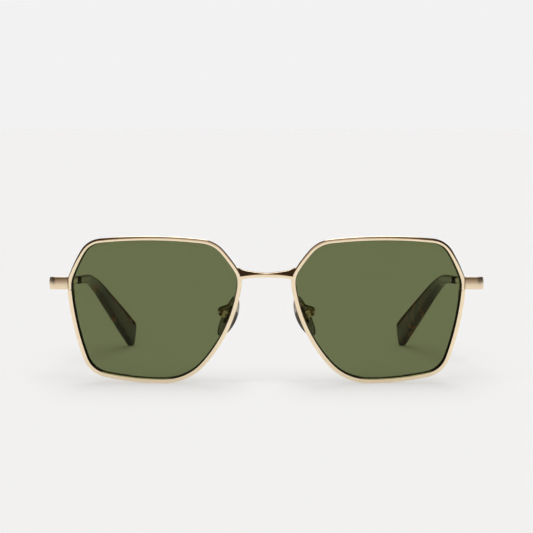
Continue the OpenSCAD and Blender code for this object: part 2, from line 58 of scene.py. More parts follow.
# ---- Driving dimensions, the same as the CAD's, in millimetres and degrees ---------------------------
EYE_W, EYE_H, EYE_GAP = 53.6, 44.8, 18.8
CURVE_R = 175.0
WRAP, LEAN = radians(5), radians(5)
RIM_FACE, RIM_DEPTH = 1.4, 2.3
LENS_T, LENS_FRONT = 1.8, 0.75
GROOVE_DEPTH, GROOVE_HALF = 0.6, 0.45
TONGUE_OUT, TONGUE_HALF = 0.42, 0.4
CAD_EDGE, CAD_LIP = 0.3, 0.15  # the CAD rim's outer and inner bevels
SEAM_SIDE, SEAM_AT, SEAM_GAP = 1, 0.92, 0.2
# Corners of a lens opening: across and up as shares of half the opening, rounding, next side's bow.
EYE_CORNERS = [
    (-0.365, -0.996, 7.4, 1.2),
    (0.760, -0.897, 4.8, 1.1),
    (1.009, 0.366, 2.1, 0.5),
    (0.775, 0.928, 3.5, 1.4),
    (-0.700, 0.937, 3.6, 0.5),
    (-1.006, 0.460, 2.5, 3.7),
]
ROUND_STEPS, SIDE_STEPS = 18, 26


# ---- Outline of a lens opening -----------------------------------------------------------------------
def corner(i):
    """Where sides i - 1 and i of the opening would meet if they weren't rounded."""
    c = EYE_CORNERS[i % len(EYE_CORNERS)]
    return Vector((c[0] * EYE_W / 2, c[1] * EYE_H / 2))


def corner_cut(i):
    """How much of each side the rounding of corner i takes."""
    return EYE_CORNERS[i % len(EYE_CORNERS)][2]


def side_station(i, s):
    """Point and direction of travel on side i, at share s of its length."""
    a, b = corner(i), corner(i + 1)
    along = b - a
    out = Vector((along.y, -along.x)).normalized()
    bow = EYE_CORNERS[i % len(EYE_CORNERS)][3]
    return a + along * s + out * bow * 4 * s * (1 - s), along + out * bow * 4 * (1 - 2 * s)


def side_start(i):
    """Share of side i at which the rounding before it ends."""
    return corner_cut(i) / (corner(i + 1) - corner(i)).length


def side_end(i):
    """Share of side i at which the rounding after it begins."""
    return 1 - corner_cut(i + 1) / (corner(i + 1) - corner(i)).length


def cross2(a, b):
    """The part of a plane cross product that isn't zero."""
    return a.x * b.y - a.y * b.x


def blend(i):
    """Stations on the quadratic curve that rounds corner i."""
    a, da = side_station(i - 1, side_end(i - 1))
    b, db = side_station(i, side_start(i))
    m = a + da * (cross2(b - a, db) / cross2(da, db))
    out = []
    for k in range(ROUND_STEPS + 1):
        u = k / ROUND_STEPS
        out.append(((1 - u) ** 2 * a + 2 * u * (1 - u) * m + u * u * b, (1 - u) * (m - a) + u * (b - m)))
    return out


def straight(i, start, end):
    """Stations on side i between two shares of its length, without the two ends."""
    return [side_station(i, start + (end - start) * k / SIDE_STEPS) for k in range(1, SIDE_STEPS)]


def eye_path():
    """The whole opening, from just above the rim's split round to just below it."""
    n = len(EYE_CORNERS)
    share = SEAM_GAP / 2 / (corner(SEAM_SIDE + 1) - corner(SEAM_SIDE)).length
    path = [side_station(SEAM_SIDE, SEAM_AT + share)]
    for k in range(1, n):
        i = SEAM_SIDE + k
        path += blend(i) + straight(i, side_start(i), side_end(i))
    path += blend(SEAM_SIDE)
    path += straight(SEAM_SIDE, side_start(SEAM_SIDE), SEAM_AT - share)
    path.append(side_station(SEAM_SIDE, SEAM_AT - share))
    return path


# ---- Frames ------------------------------------------------------------------------------------------
def shell(station, out, depth):
    """Point in the eye frame, out from the opening's edge and depth behind the lens sphere."""
    p, d = station
    y = sqrt(CURVE_R ** 2 - p.x ** 2 - p.y ** 2)
    radial = Vector((-p.x, y, -p.y)) / CURVE_R
    along = Vector((d.x, (p.x * d.x + p.y * d.y) / y, d.y)).normalized()
    return Vector((p.x, CURVE_R - y, p.y)) + radial.cross(along) * out + radial * depth


def eye_to_front(p):
    """Eye frame to the upright front's frame."""
    return Vector((
        p.x * cos(WRAP) - p.y * sin(WRAP) + EYE_GAP / 2 + EYE_W / 2,
        p.x * sin(WRAP) + p.y * cos(WRAP),
        p.z + EYE_H / 2 + RIM_FACE))


def leaned(p):
    """The upright front's frame, leaned forward as the glasses stand."""
    return Vector((p.x, p.y * cos(LEAN) - p.z * sin(LEAN), p.y * sin(LEAN) + p.z * cos(LEAN)))


PATH = eye_path()
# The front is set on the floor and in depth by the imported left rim's own box.
_rim_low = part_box("rim_left")[0] / MM
_outer_edges = [leaned(eye_to_front(shell(st, RIM_FACE, d)))
                for st in PATH for d in (CAD_EDGE - RIM_DEPTH / 2, RIM_DEPTH / 2 - CAD_EDGE)]
_front_edges = [leaned(eye_to_front(shell(st, n, -RIM_DEPTH / 2)))
                for st in PATH for n in (CAD_LIP, RIM_FACE - CAD_EDGE)]
FRONT_SHIFT = Vector((
    0, _rim_low.y - min(p.y for p in _front_edges), _rim_low.z - min(p.z for p in _outer_edges)))


def front_to_row(p):
    """Upright front's frame to the shared frame, in metres."""
    return (leaned(p) + FRONT_SHIFT) * MM


def eye_to_row(p):
    """Eye frame to the shared frame, in metres."""
    return front_to_row(eye_to_front(p))


def record_joint(name):
    return next(j for j in frame["joints"] if j["name"] == name)


def record_mount(name):
    return next(m for m in frame["record"]["mounts"] if m["name"] == name)


_hinge = record_joint("temple_hinge_left")
HINGE_AT, HINGE_UP = Vector(_hinge["pos_m"]), Vector(_hinge["axis"]).normalized()
HINGE_BACK = HINGE_UP.cross(Vector((1, 0, 0))).normalized()
_rock = record_joint("pad_rock_left")
PAD_AT, PAD_Y = Vector(_rock["pos_m"]), Vector(_rock["axis"]).normalized()
PAD_X = -Vector(record_mount("nose_left")["axis"]).normalized()
PAD_Z = PAD_X.cross(PAD_Y).normalized()


def hinge_to_row(p):
    """The left hinge's frame, y back along the temple, to the shared frame."""
    return HINGE_AT + (Vector((p.x, 0, 0)) + HINGE_BACK * p.y + HINGE_UP * p.z) * MM


def pad_to_row(p):
    """The left pad's frame, x away from the nose and y along the rocking axis, to the shared frame."""
    return PAD_AT + (PAD_X * p.x + PAD_Y * p.y + PAD_Z * p.z) * MM


# ---- Mesh helpers ------------------------------------------------------------------------------------
WELD = 1e-7


def add_piece(name, body, points, faces, material, nodes, side=LEFT, sharp=None):
    """A mesh piece that rides on a body and stands for CAD nodes.

    Edges bent by more than sharp degrees stay crisp.
    """
    mesh = bpy.data.meshes.new(name)
    mesh.from_pydata([(p.x * side, p.y, p.z) for p in points], [], faces)
    bm = bmesh.new()
    bm.from_mesh(mesh)
    bmesh.ops.remove_doubles(bm, verts=bm.verts, dist=WELD)
    bmesh.ops.recalc_face_normals(bm, faces=bm.faces)
    for f in bm.faces:
        f.smooth = True
    if sharp is not None:
        for e in bm.edges:
            e.smooth = not (len(e.link_faces) == 2 and e.calc_face_angle(0) > radians(sharp))
    bm.to_mesh(mesh)
    bm.free()
    mesh.materials.append(material)
    obj = bpy.data.objects.new(name, mesh)
    bpy.context.scene.collection.objects.link(obj)
    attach(obj, body)
    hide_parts(*nodes)


def skin(rings, caps=True):
    """Points and faces of a tube through rings of equal counts."""
    n, last = len(rings[0]), len(rings) - 1
    points = [p for ring in rings for p in ring]
    faces = []
    for a in range(0, last * n, n):
        b = a + n
        faces += [(a + k, a + (k + 1) % n, b + (k + 1) % n, b + k) for k in range(n)]
    if caps:
        faces += [tuple(range(n)), tuple(last * n + k for k in range(n))]
    return points, faces


def rounded_rect(w, h, r, steps=5):
    """Outline of a w by h rectangle with corners of radius r, as (across, up) pairs."""
    out = []
    for cx, cy, start in ((1, 1, 0), (-1, 1, 90), (-1, -1, 180), (1, -1, 270)):
        for k in range(steps + 1):
            a = radians(start + 90 * k / steps)
            out.append((cx * (w / 2 - r) + r * cos(a), cy * (h / 2 - r) + r * sin(a)))
    return out


def crowned_rect(w, h, r, steps=8):
    """A rounded rectangle with extra points up its right-hand side, so that the side can be bowed."""
    out = rounded_rect(w, h, r)
    return out + [(w / 2, (h / 2 - r) * (2 * k / steps - 1)) for k in range(1, steps)]


def end_caps(rings, r, steps=4):
    """Rings with both ends rounded off by about r: each end's ring repeats, smaller and further out."""
    def cap(ring, inner):
        centre = sum(ring, Vector((0, 0, 0))) / len(ring)
        away = (centre - sum(inner, Vector((0, 0, 0))) / len(inner)).normalized()
        size = max((p - centre).length for p in ring)
        out = []
        for k in range(1, steps + 1):
            a = pi / 2 * k / steps
            shrink = 1 - (1 - cos(a)) * r / size
            out.append([centre + (p - centre) * shrink + away * (sin(a) * r - r) for p in ring])
        return out
    first, last = cap(rings[0], rings[1]), cap(rings[-1], rings[-2])
    return first[::-1] + rings + last


# ---- Materials ---------------------------------------------------------------------------------------
# Noise scales are in cells per metre, and bump heights are in metres.
FINE_GRAIN, COARSE_GRAIN = 0.000002, 0.000005


class Nodes:
    """Short way to write a material's node tree."""

    def __init__(self, name):
        self.material = bpy.data.materials.new(name)
        self.material.use_nodes = True
        self.tree = self.material.node_tree
        self.shader = self.tree.nodes["Principled BSDF"]
        self.coords = self.add("ShaderNodeTexCoord")

    def add(self, kind, **settings):
        node = self.tree.nodes.new(kind)
        for key, value in settings.items():
            setattr(node, key, value)
        return node

    def link(self, a, b):
        self.tree.links.new(a, b)

    def set(self, **values):
        for key, value in values.items():
            self.shader.inputs[key.replace("_", " ")].default_value = value

    def place(self, scale=(1, 1, 1)):
        """The piece's own coordinates, stretched by scale."""
        mapping = self.add("ShaderNodeMapping")
        mapping.inputs["Scale"].default_value = scale
        self.link(self.coords.outputs["Object"], mapping.inputs["Vector"])
        return mapping.outputs["Vector"]

    def noise(self, scale, detail=3, stretch=(1, 1, 1), distortion=0):
        node = self.add("ShaderNodeTexNoise")
        node.inputs["Scale"].default_value = scale
        node.inputs["Detail"].default_value = detail
        node.inputs["Distortion"].default_value = distortion
        self.link(self.place(stretch), node.inputs["Vector"])
        return node.outputs["Fac"]

    def ramp(self, value, stops):
        node = self.add("ShaderNodeValToRGB")
        band = node.color_ramp
        while len(band.elements) < len(stops):
            band.elements.new(0.5)
        for element, (at, colour) in zip(band.elements, stops):
            element.position = at
            element.color = (*colour, 1)
        self.link(value, node.inputs["Fac"])
        return node.outputs["Color"]

    def spread(self, value, low, high):
        """value from 0 to 1 becomes low to high."""
        node = self.add("ShaderNodeMapRange")
        node.inputs["To Min"].default_value = low
        node.inputs["To Max"].default_value = high
        self.link(value, node.inputs["Value"])
        return node.outputs["Result"]

    def bump(self, height, distance, strength=1.0):
        node = self.add("ShaderNodeBump")
        node.inputs["Distance"].default_value = distance
        node.inputs["Strength"].default_value = strength
        self.link(height, node.inputs["Height"])
        self.link(node.outputs["Normal"], self.shader.inputs["Normal"])


def plated_metal(name, light, dark, rough_low, rough_high, grain=(1, 1, 1), bump=FINE_GRAIN):
    """Gold plating: slow shifts of tone, finer shifts of gloss and a fine surface grain."""
    m = Nodes(name)
    tone = m.noise(220, 4)
    m.link(m.ramp(tone, [(0.3, dark), (0.7, light)]), m.shader.inputs["Base Color"])
    fine = m.noise(2600, 5, grain)
    m.link(m.spread(fine, rough_low, rough_high), m.shader.inputs["Roughness"])
    m.bump(fine, bump)
    m.set(Metallic=1.0)
    return m.material


def lens_glass():
    """Green lens: the tint is in the glass, and the hard coat is very slightly uneven."""
    m = Nodes("green_lens")
    slow = m.noise(40, 2)
    tints = [(0.0, (0.153, 0.177, 0.082)), (1.0, (0.159, 0.183, 0.085))]
    m.link(m.ramp(slow, tints), m.shader.inputs["Base Color"])
    m.link(m.spread(m.noise(900, 2), 0.0, 0.004), m.shader.inputs["Roughness"])
    m.set(Transmission_Weight=1.0, IOR=1.12)
    return m.material


def painted_edge_shade():
    """Painted shade at a lens's edge: near black, with the metal's brown and the glass's green in it, for the
    rim's inner wall seen in shade through the tinted glass.
    """
    m = Nodes("lens_edge")
    m.link(m.ramp(m.noise(400, 3), [(0.3, (0.030, 0.018, 0.010)), (0.7, (0.024, 0.024, 0.012))]),
           m.shader.inputs["Base Color"])
    fine = m.noise(3000, 3)
    m.link(m.spread(fine, 0.45, 0.6), m.shader.inputs["Roughness"])
    m.bump(fine, FINE_GRAIN)
    m.set(Specular_IOR_Level=0.2)
    return m.material


def tortoise():
    """Dark brown acetate with amber patches deep in it, polished."""
    m = Nodes("dark_tortoise")
    patches = m.noise(95, 3, (1.6, 0.7, 1.2), 1.4)
    m.link(m.ramp(patches, [(0.40, (0.022, 0.013, 0.009)), (0.54, (0.060, 0.022, 0.011)),
                            (0.62, (0.22, 0.060, 0.018)), (0.72, (0.40, 0.15, 0.04))]),
           m.shader.inputs["Base Color"])
    fine = m.noise(1500, 3)
    m.link(m.spread(fine, 0.16, 0.26), m.shader.inputs["Roughness"])
    m.bump(fine, FINE_GRAIN)
    m.set(IOR=1.49, Coat_Weight=0.4, Coat_Roughness=0.08)
    return m.material


def silicone():
    """Soft silicone, a little matt, clear in itself; its slightly warm grey tint is painted shade for the dim
    surroundings the pads refract.
    """
    m = Nodes("clear_silicone")
    # Painted shade: the pads' grey tint, darker than clear silicone.
    m.link(m.ramp(m.noise(300, 2), [(0.3, (0.40, 0.37, 0.32)), (0.7, (0.46, 0.43, 0.38))]),
           m.shader.inputs["Base Color"])
    fine = m.noise(3000, 3)
    m.link(m.spread(fine, 0.06, 0.14), m.shader.inputs["Roughness"])
    m.bump(fine, FINE_GRAIN)
    m.set(Transmission_Weight=0.9, IOR=1.41)
    return m.material


def steel():
    """Plain steel with a fine lengthways grain."""
    m = Nodes("screw_steel")
    m.link(m.ramp(m.noise(500, 3), [(0.3, (0.50, 0.47, 0.43)), (0.7, (0.64, 0.61, 0.57))]),
           m.shader.inputs["Base Color"])
    fine = m.noise(4000, 4, (1, 1, 6))
    m.link(m.spread(fine, 0.2, 0.36), m.shader.inputs["Roughness"])
    m.bump(fine, 0.000003)
    m.set(Metallic=1.0)
    return m.material


BRUSHED = (0.4, 1, 5)
POLISHED = plated_metal("polished_gold", (0.97, 0.82, 0.60), (0.93, 0.77, 0.54), 0.03, 0.08)
SATIN = plated_metal("satin_gold", (0.96, 0.80, 0.58), (0.90, 0.74, 0.52), 0.26, 0.34, BRUSHED,
                     COARSE_GRAIN)
HINGE_GOLD = plated_metal("hinge_gold", (0.86, 0.69, 0.45), (0.78, 0.60, 0.38), 0.22, 0.34)
PAD_GOLD = plated_metal("pad_gold", (0.90, 0.72, 0.48), (0.82, 0.63, 0.40), 0.14, 0.26)
LENS = lens_glass()
# Painted shade: a near-black band for the dark line round each lens inside the rim.
LENS_EDGE_SHADE = painted_edge_shade()
TORTOISE = tortoise()
SHADE_TINTED_SILICONE = silicone()
STEEL = steel()
CAD_LOOKS = {"hinge_gold": HINGE_GOLD, "pad_gold": PAD_GOLD, "screw_steel": STEEL}


# ---- Rims --------------------------------------------------------------------------------------------
OUTER_ROUND, INNER_ROUND = 0.3, 0.16
FRONT_CROWN = 0.07
GROOVE_LIP = 0.02
OUTER_STEPS, INNER_STEPS, FACE_STEPS = 7, 4, 6


def arc(cx, cy, r, start, end, steps):
    """Points on a circle from one angle to another, in degrees."""
    return [(cx + r * cos(radians(start + (end - start) * k / steps)),
             cy + r * sin(radians(start + (end - start) * k / steps))) for k in range(steps + 1)]


def rim_profile():
    """Cross-section as (outwards, back) with rounded edges and the lens's groove."""
    half = RIM_DEPTH / 2
    profile = [(GROOVE_LIP, -GROOVE_HALF), (GROOVE_DEPTH, -GROOVE_HALF),
               (GROOVE_DEPTH, GROOVE_HALF), (GROOVE_LIP, GROOVE_HALF)]
    profile += arc(INNER_ROUND, half - INNER_ROUND, INNER_ROUND, 180, 90, INNER_STEPS)
    profile += arc(RIM_FACE - OUTER_ROUND, half - OUTER_ROUND, OUTER_ROUND, 90, 0, OUTER_STEPS)
    outer = arc(RIM_FACE - OUTER_ROUND, OUTER_ROUND - half, OUTER_ROUND, 0, -90, OUTER_STEPS)
    inner = arc(INNER_ROUND, INNER_ROUND - half, INNER_ROUND, -90, -180, INNER_STEPS)
    width = RIM_FACE - OUTER_ROUND - INNER_ROUND
    face = [(RIM_FACE - OUTER_ROUND - width * k / FACE_STEPS, -half) for k in range(1, FACE_STEPS)]
    for n, d in outer + face + inner:
        crown = max(0, 1 - ((2 * n - RIM_FACE) / RIM_FACE) ** 2)
        profile.append((n, d - FRONT_CROWN * crown * min(1, -d / half)))
    return profile


def make_rim(word, side):
    """Closed wire round the lens, with its two ends at the split behind the endpiece."""
    rings = [[eye_to_row(shell(st, n, d)) for n, d in rim_profile()] for st in PATH]
    points, faces = skin(rings)
    add_piece(f"rim_metal_{word}", "front", points, faces, POLISHED,
              [f"rim_{word}"], side, sharp=50)


# ---- Lenses ------------------------------------------------------------------------------------------
LENS_EDGE_IN = 0.03
LENS_CHAMFER_IN, LENS_CHAMFER_BACK = 0.12, 0.1
LENS_RINGS, RING_CROWDING = 14, 0.8


def lens_ring(share, depth):
    """The opening's outline shrunk to a share, on the lens's face at depth."""
    return [eye_to_row(shell((p * share, along), -LENS_EDGE_IN * share, depth)) for p, along in PATH]


def make_lens(word, side):
    """Two spherical faces and a stepped edge with a tongue in the rim's groove."""
    front, back = -LENS_FRONT, LENS_T - LENS_FRONT
    edge, inside = -LENS_EDGE_IN, -LENS_EDGE_IN - LENS_CHAMFER_IN
    line = [(inside, front), (edge, front + LENS_CHAMFER_BACK), (edge, -TONGUE_HALF),
            (TONGUE_OUT, -TONGUE_HALF), (TONGUE_OUT, TONGUE_HALF), (edge, TONGUE_HALF),
            (edge, back - LENS_CHAMFER_BACK), (inside, back)]
    shares = [(k / LENS_RINGS) ** RING_CROWDING for k in range(1, LENS_RINGS)]
    rings = [lens_ring(s, front) for s in shares]
    rings += [[eye_to_row(shell(st, n, d)) for st in PATH] for n, d in line]
    rings += [lens_ring(s, back) for s in reversed(shares)]
    points, faces = skin(rings, caps=False)
    n = len(PATH)
    last = len(points) - n
    centre = Vector((0, 0))
    flat = (centre, Vector((1, 0)))
    points += [eye_to_row(shell(flat, 0, front)), eye_to_row(shell(flat, 0, back))]
    for k in range(n):
        faces.append((k, (k + 1) % n, len(points) - 2))
        faces.append((last + k, last + (k + 1) % n, len(points) - 1))
    add_piece(f"lens_glass_{word}", "front", points, faces, LENS,
              [f"lens_{word}"], side, sharp=35)


EDGE_IN, EDGE_OUT = -0.1, -0.015
EDGE_FRONT, EDGE_BACK = -0.5, 1.0


def make_edge_shade(word, side):
    """Painted shade round the lens: a thin dark band inside the rim, where the rim's inner wall lies in shade
    behind the tinted glass.
    """
    line = [(EDGE_IN, EDGE_FRONT), (EDGE_OUT, EDGE_FRONT), (EDGE_OUT, EDGE_BACK), (EDGE_IN, EDGE_BACK)]
    rings = [[eye_to_row(shell(st, n, d)) for n, d in line] for st in PATH]
    points, faces = skin(rings)
    add_piece(f"lens_edge_{word}", "front", points, faces, LENS_EDGE_SHADE,
              [f"lens_{word}"], side, sharp=30)


# ---- Bridge ------------------------------------------------------------------------------------------
BRIDGE_Z, BRIDGE_SPAN, BRIDGE_DEPTH = 34.55, 9.0, 2.0
BRIDGE_H, BRIDGE_FACE_H = 1.3, 0.95
BRIDGE_DROP, LIP_DROP, TOP_RISE, TOP_FLARE = 1.2, 0.85, 1.0, 0.6
BRIDGE_MID_Y, BRIDGE_BOW, BRIDGE_SETBACK = -0.05, 0.9, 0.35
# The ends lean with the rims, so that they stay inside the rims' width.
BRIDGE_HALF, END_LEAN, END_LEVEL = 8.9, 0.5, 34.4
# How late towards the rims the underside, lip, top and flare turn, and the ends start to lean.
LOW_POWER, LIP_POWER, RISE_POWER, FLARE_POWER, LEAN_POWER = 3, 2, 1.2, 8, 6
BRIDGE_STEPS = 64
BRIDGE_EDGE, EDGE_SHARE = 0.16, 0.45


def fillet(points, r, steps=4):
    """Closed outline of (across, up) points, each corner rounded by cutting its sides back by r at most."""
    out = []
    n = len(points)
    for k in range(n):
        p, q = Vector(points[k]), Vector(points[(k + 1) % n])
        o = Vector(points[k - 1])
        cut_in, cut_out = (min(r, length * EDGE_SHARE) for length in ((p - o).length, (q - p).length))
        a, b = p + (o - p).normalized() * cut_in, p + (q - p).normalized() * cut_out
        for j in range(steps + 1):
            u = j / steps
            out.append(tuple((1 - u) ** 2 * a + 2 * u * (1 - u) * p + u * u * b))
    return out


def bridge_outline(x):
    """Five corners at x: the low front face, the steep face above it, the top and the back."""
    share = min(1, abs(x) / BRIDGE_SPAN)
    low = BRIDGE_Z - BRIDGE_DROP * share ** LOW_POWER
    lip = BRIDGE_Z + BRIDGE_FACE_H - LIP_DROP * share ** LIP_POWER
    high = BRIDGE_Z + BRIDGE_H + TOP_RISE * share ** RISE_POWER + TOP_FLARE * share ** FLARE_POWER
    front = BRIDGE_MID_Y - BRIDGE_DEPTH / 2 - BRIDGE_BOW * (1 - share ** 2)
    back = front + BRIDGE_DEPTH
    edge = front + BRIDGE_SETBACK * (high - lip)
    return [Vector((x, y, z)) for y, z in
            [(front, low), (front, lip), (edge, high), (back, high), (back, low)]]


def make_bridge():
    """The bridge grows taller as it flares towards the rims, into which its ends run."""
    rings = []
    for k in range(-BRIDGE_STEPS, BRIDGE_STEPS + 1):
        x = BRIDGE_HALF * k / BRIDGE_STEPS
        lean = END_LEAN * (x / BRIDGE_SPAN) ** LEAN_POWER * (1 if x > 0 else -1)
        moved = [x + lean * (p.z - END_LEVEL) for p in bridge_outline(x)]
        ring = [bridge_outline(at)[k] for k, at in enumerate(moved)]
        rings.append([front_to_row(Vector(p)) for p in fillet(ring, BRIDGE_EDGE)])
    points, faces = skin(rings)
    add_piece("bridge_metal", "front", points, faces, POLISHED, ["bridge"])


# ---- Endpieces ---------------------------------------------------------------------------------------
END_H, END_T, END_UP, HINGE_IN = 4.0, 1.55, 0.12, 1.3
END_REACH, END_CORNER, HINGE_JOINT = 7.4, 2.0, 0.1
END_INNER = -3.2
END_CROWN, END_EDGE, END_ROUND = 0.26, 0.14, 0.2
FRONT_STEPS, CORNER_STEPS, BACK_STEPS = 12, 16, 10


def make_endpiece(word, side):
    """Rounded bar that runs out from the rim, turns back round the corner and ends at the hinge."""
    out = HINGE_IN + END_T / 2
    mid_r = END_CORNER - END_T / 2
    front = END_T / 2 - END_REACH
    run = out - mid_r - END_INNER
    line = [((END_INNER + run * k / FRONT_STEPS, front), (1, 0)) for k in range(FRONT_STEPS)]
    for k in range(CORNER_STEPS + 1):
        a = radians(-90 + 90 * k / CORNER_STEPS)
        line.append(((out - mid_r + mid_r * cos(a), front + mid_r + mid_r * sin(a)), (-sin(a), cos(a))))
    start, end = front + mid_r, -HINGE_JOINT
    line += [((out, start + (end - start) * k / BACK_STEPS), (0, 1)) for k in range(1, BACK_STEPS + 1)]
    outline = [(a + END_CROWN * (1 - (2 * b / END_H) ** 2) if a > 0 else a, b)
               for a, b in crowned_rect(END_T, END_H, END_EDGE)]
    rings = []
    for (x, y), (dx, dy) in line:
        rings.append([hinge_to_row(Vector((x + dy * a, y - dx * a, b + END_UP))) for a, b in outline])
    points, faces = skin(end_caps(rings, END_ROUND * MM))
    add_piece(f"endpiece_metal_{word}", "front", points, faces, SATIN,
              [f"endpiece_{word}"], side)


# ---- Temples -----------------------------------------------------------------------------------------
EAR_BEND, TIP_START, TEMPLE_REACH = 95.0, 60.0, 133.8
ARM_H, ARM_T = 3.5, 1.4
TEMPLE_B = Vector((HINGE_IN + END_T / 2, 5.1, 0))
TEMPLE_C = Vector((-3.3, EAR_BEND, 0.8))
TEMPLE_E = Vector((-16.15, TEMPLE_REACH, -20.95))
BEND_CUT = 13.0
NECK = TIP_START - 6  # where the metal temple starts to narrow into the tip
ARM_HEIGHTS = [(0, ARM_H), (14, ARM_H - 0.3), (NECK, 2.1), (TIP_START, 1.5), (TEMPLE_REACH, 1.3)]
ARM_THICKNESSES = [(0, ARM_T), (NECK, 1.3), (TIP_START, 1.0), (TEMPLE_REACH, 0.9)]
TIP_HEIGHTS = [(TIP_START, 2.7), (92, 3.2), (104, 5), (125, 9), (TEMPLE_REACH, 10.2)]
TIP_THICKNESSES = [(TIP_START, 2.4), (92, 3), (TEMPLE_REACH, 3.3)]
TIP_TWIST = radians(5)
RING_POINTS = 40
SQUARENESS = 0.5
HALVINGS = 40
DIRECTION_SPAN = 1.5
ARM_FROM, ARM_TO, ARM_STEP = 0.12, 124, 1.6


def lookup(x, table):
    """Value at x from rows of (x, value), straight between rows and level beyond the ends."""
    if x <= table[0][0]:
        return table[0][1]
    for (x0, v0), (x1, v1) in zip(table, table[1:]):
        if x <= x1:
            return v0 + (v1 - v0) * (x - x0) / (x1 - x0)
    return table[-1][1]


def temple_at(y):
    """Middle of the temple at y in the hinge frame: along the leaf, in to the ear, over it and down."""
    a = TEMPLE_C + (TEMPLE_B - TEMPLE_C).normalized() * BEND_CUT
    e = TEMPLE_C + (TEMPLE_E - TEMPLE_C).normalized() * BEND_CUT
    if y < TEMPLE_B.y:
        return Vector((TEMPLE_B.x, y, TEMPLE_B.z))
    if y < a.y:
        return TEMPLE_B + (a - TEMPLE_B) * (y - TEMPLE_B.y) / (a.y - TEMPLE_B.y)
    if y > e.y:
        return e + (TEMPLE_E - e) * (y - e.y) / (TEMPLE_E.y - e.y)
    low, high = 0.0, 1.0
    for _ in range(HALVINGS):
        u = (low + high) / 2
        p = (1 - u) ** 2 * a + 2 * u * (1 - u) * TEMPLE_C + u * u * e
        low, high = (u, high) if p.y < y else (low, u)
    return p


def signed_power(v, e):
    """The size of v to the power e, with the sign of v."""
    return (abs(v) ** e) * (1 if v >= 0 else -1)


def temple_ring(y, thick, high):
    """Rounded-square ring across the temple at y, turned by the twist towards the end."""
    f = (temple_at(min(y + DIRECTION_SPAN, TEMPLE_REACH)) - temple_at(y - DIRECTION_SPAN)).normalized()
    e = f.cross(Vector((0, 0, 1))).normalized()
    u = e.cross(f)
    twist = TIP_TWIST * max(0, y - EAR_BEND) / (TEMPLE_REACH - EAR_BEND)
    e, u = e * cos(twist) - u * sin(twist), u * cos(twist) + e * sin(twist)
    ring = []
    for k in range(RING_POINTS):
        a = 2 * pi * (k + 0.5) / RING_POINTS
        ring.append(temple_at(y) + e * signed_power(cos(a), SQUARENESS) * thick / 2
                    + u * signed_power(sin(a), SQUARENESS) * high / 2)
    return ring


def spaced(start, end, step):
    """Even places from start to end, at most step apart."""
    n = max(1, ceil((end - start) / step))
    return [start + (end - start) * k / n for k in range(n + 1)]


def make_arm(word, side):
    """Slim metal bar from the plane of the hinge joint to deep inside the tip."""
    rings = [temple_ring(y, lookup(y, ARM_THICKNESSES), lookup(y, ARM_HEIGHTS))
             for y in spaced(ARM_FROM, ARM_TO, ARM_STEP)]
    rings[0] = [Vector((p.x, HINGE_JOINT, p.z)) for p in rings[0]]
    points, faces = skin([[hinge_to_row(p) for p in ring] for ring in rings])
    add_piece(f"temple_metal_{word}", f"temple_{word}", points, faces, POLISHED,
              [f"temple_arm_{word}"], side, sharp=60)


TIP_END_ROUND = 0.4
TIP_EDGE = 0.3
TIP_STEP, TIP_END_STEPS = 0.8, 5


def soft_floor(z, floor, r):
    """z held above floor, with a rounded shoulder about r long."""
    over = (z - floor) / r
    if over > 1:
        return z
    return floor if over < -1 else floor + r * (1 + over) ** 2 / 4


def tip_ring(y, less):
    """Ring of the tip at y, made smaller by less each way."""
    return temple_ring(y, lookup(y, TIP_THICKNESSES) - less, lookup(y, TIP_HEIGHTS) - less)


def make_tip(word, side):
    """Moulded sleeve that swells downwards behind the ear and is cut square, with softened edges."""
    quarter = [pi / 2 * k / TIP_END_STEPS for k in range(TIP_END_STEPS + 1)]
    start, end = TIP_START + TIP_END_ROUND, TEMPLE_REACH - TIP_END_ROUND
    rings = [tip_ring(start - TIP_END_ROUND * cos(a), 2 * TIP_END_ROUND * (1 - sin(a))) for a in quarter]
    rings += [tip_ring(y, 0) for y in spaced(start, end, TIP_STEP)[1:-1]]
    rings += [tip_ring(end + TIP_END_ROUND * sin(a), 2 * TIP_END_ROUND * (1 - cos(a))) for a in quarter]
    placed = []
    for ring in rings:
        points = [hinge_to_row(p) for p in ring]
        placed.append([Vector((p.x, p.y, soft_floor(p.z, 0, TIP_EDGE * MM))) for p in points])
    points, faces = skin(placed)
    add_piece(f"tip_acetate_{word}", f"temple_{word}", points, faces, TORTOISE,
              [f"temple_tip_{word}"], side, sharp=60)


# ---- Nose pads ---------------------------------------------------------------------------------------
PAD_L, PAD_W, PAD_T, PAD_BACK, PAD_DROP = 14.0, 7.0, 2.5, 1.1, 0.5
DOME_R, OVAL_POWER = 16.0, 0.85
PAD_AROUND, FACE_RINGS, EDGE_RINGS, BACK_RINGS = 72, 13, 6, 5
# The face's round edge, how much of the outline it takes up, and the smaller one at the back.
PAD_EDGE, PAD_EDGE_FROM, PAD_BACK_ROUND, PAD_BACK_IN = 0.45, 0.94, 0.2, 0.05
PAD_BACK_SHARES = (0.8, 0.55, 0.3)


def pad_ring(share, depth):
    """Points round the pad at a share of its outline; depth turns the dome's sag there into x."""
    out = []
    for k in range(PAD_AROUND):
        a = 2 * pi * k / PAD_AROUND
        z = signed_power(cos(a), OVAL_POWER) * PAD_L / 2 * share
        y = signed_power(sin(a), OVAL_POWER) * PAD_W / 2 * share
        sag = DOME_R - sqrt(DOME_R ** 2 - y * y - z * z)
        out.append(pad_to_row(Vector((depth(sag), y, z - PAD_DROP))))
    return out


